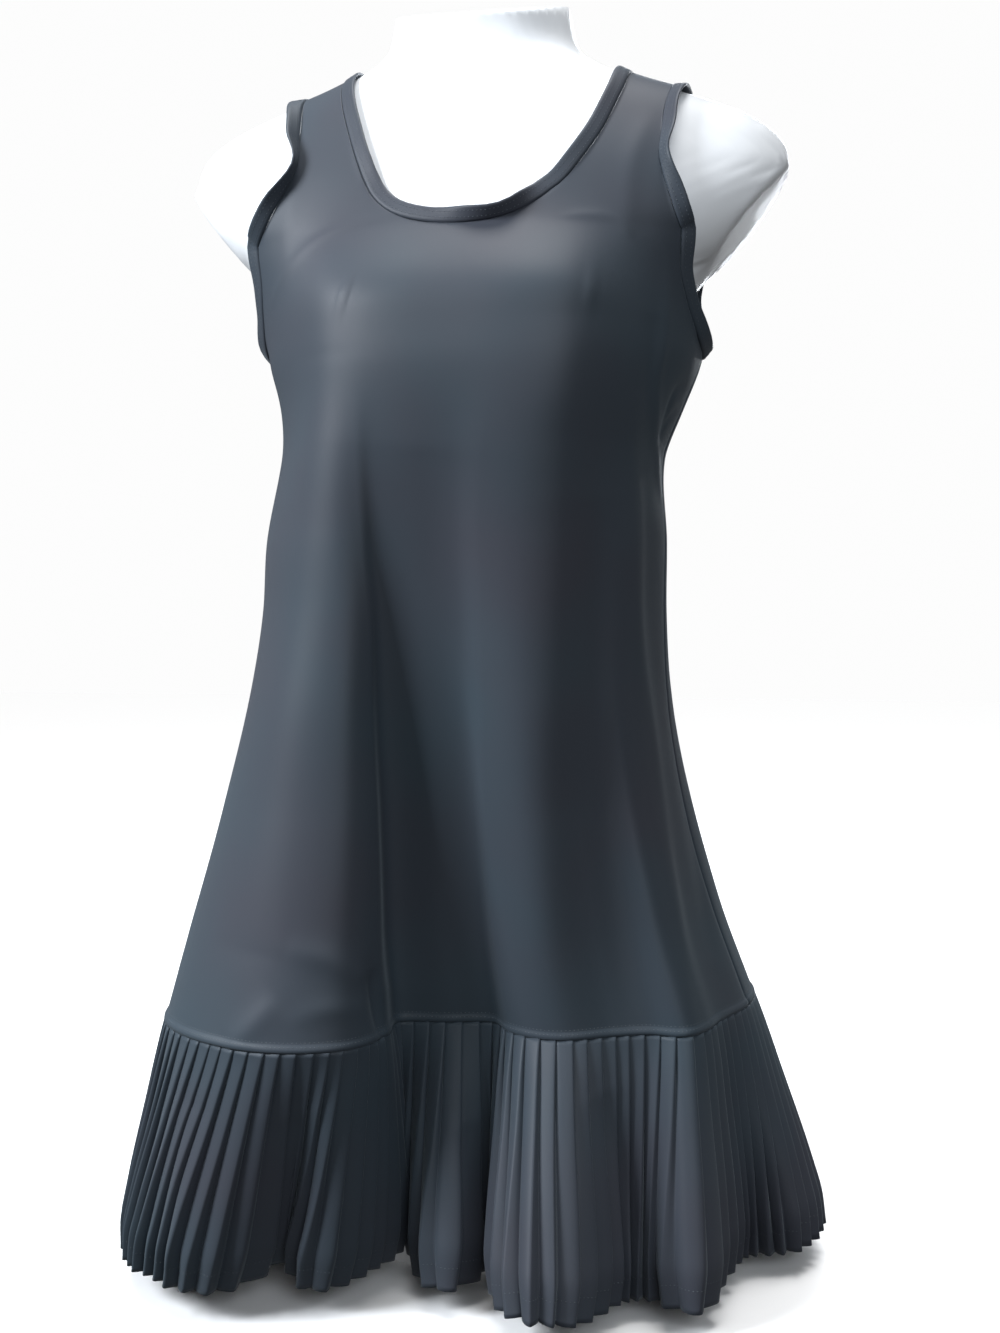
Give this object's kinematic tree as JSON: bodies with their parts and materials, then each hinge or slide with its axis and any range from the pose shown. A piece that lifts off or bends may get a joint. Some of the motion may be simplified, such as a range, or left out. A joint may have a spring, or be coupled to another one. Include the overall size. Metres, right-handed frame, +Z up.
{
  "type": "tennis dress on a torso dress form",
  "caption": "Sleeveless A-line tennis dress with scoop neck, bound edges and a knife-pleated flounce hem, shown on a smooth limbless torso dress form.",
  "frame": {"origin": "on the floor, under the middle of the whole object's box", "axes": "+Z up; the wearer's front faces -Y; the wearer's left is +X"},
  "size_m": [0.4888, 0.3481, 0.8825],
  "materials": {
    "jersey": "fine charcoal black polyester jersey with a soft satin sheen",
    "pleats": "the same jersey, heat-set in sharp knife pleats",
    "binding": "self-fabric binding, folded and coverstitched",
    "form": "smooth satin white moulded plastic"
  },
  "bodies": {
    "root": {"front_body": "jersey", "back_body": "jersey", "neck_binding": "binding", "armhole_binding_left": "binding", "armhole_binding_right": "binding", "flounce_front": "pleats", "flounce_back": "pleats", "dress_form": "form"}
  },
  "joints": []
}
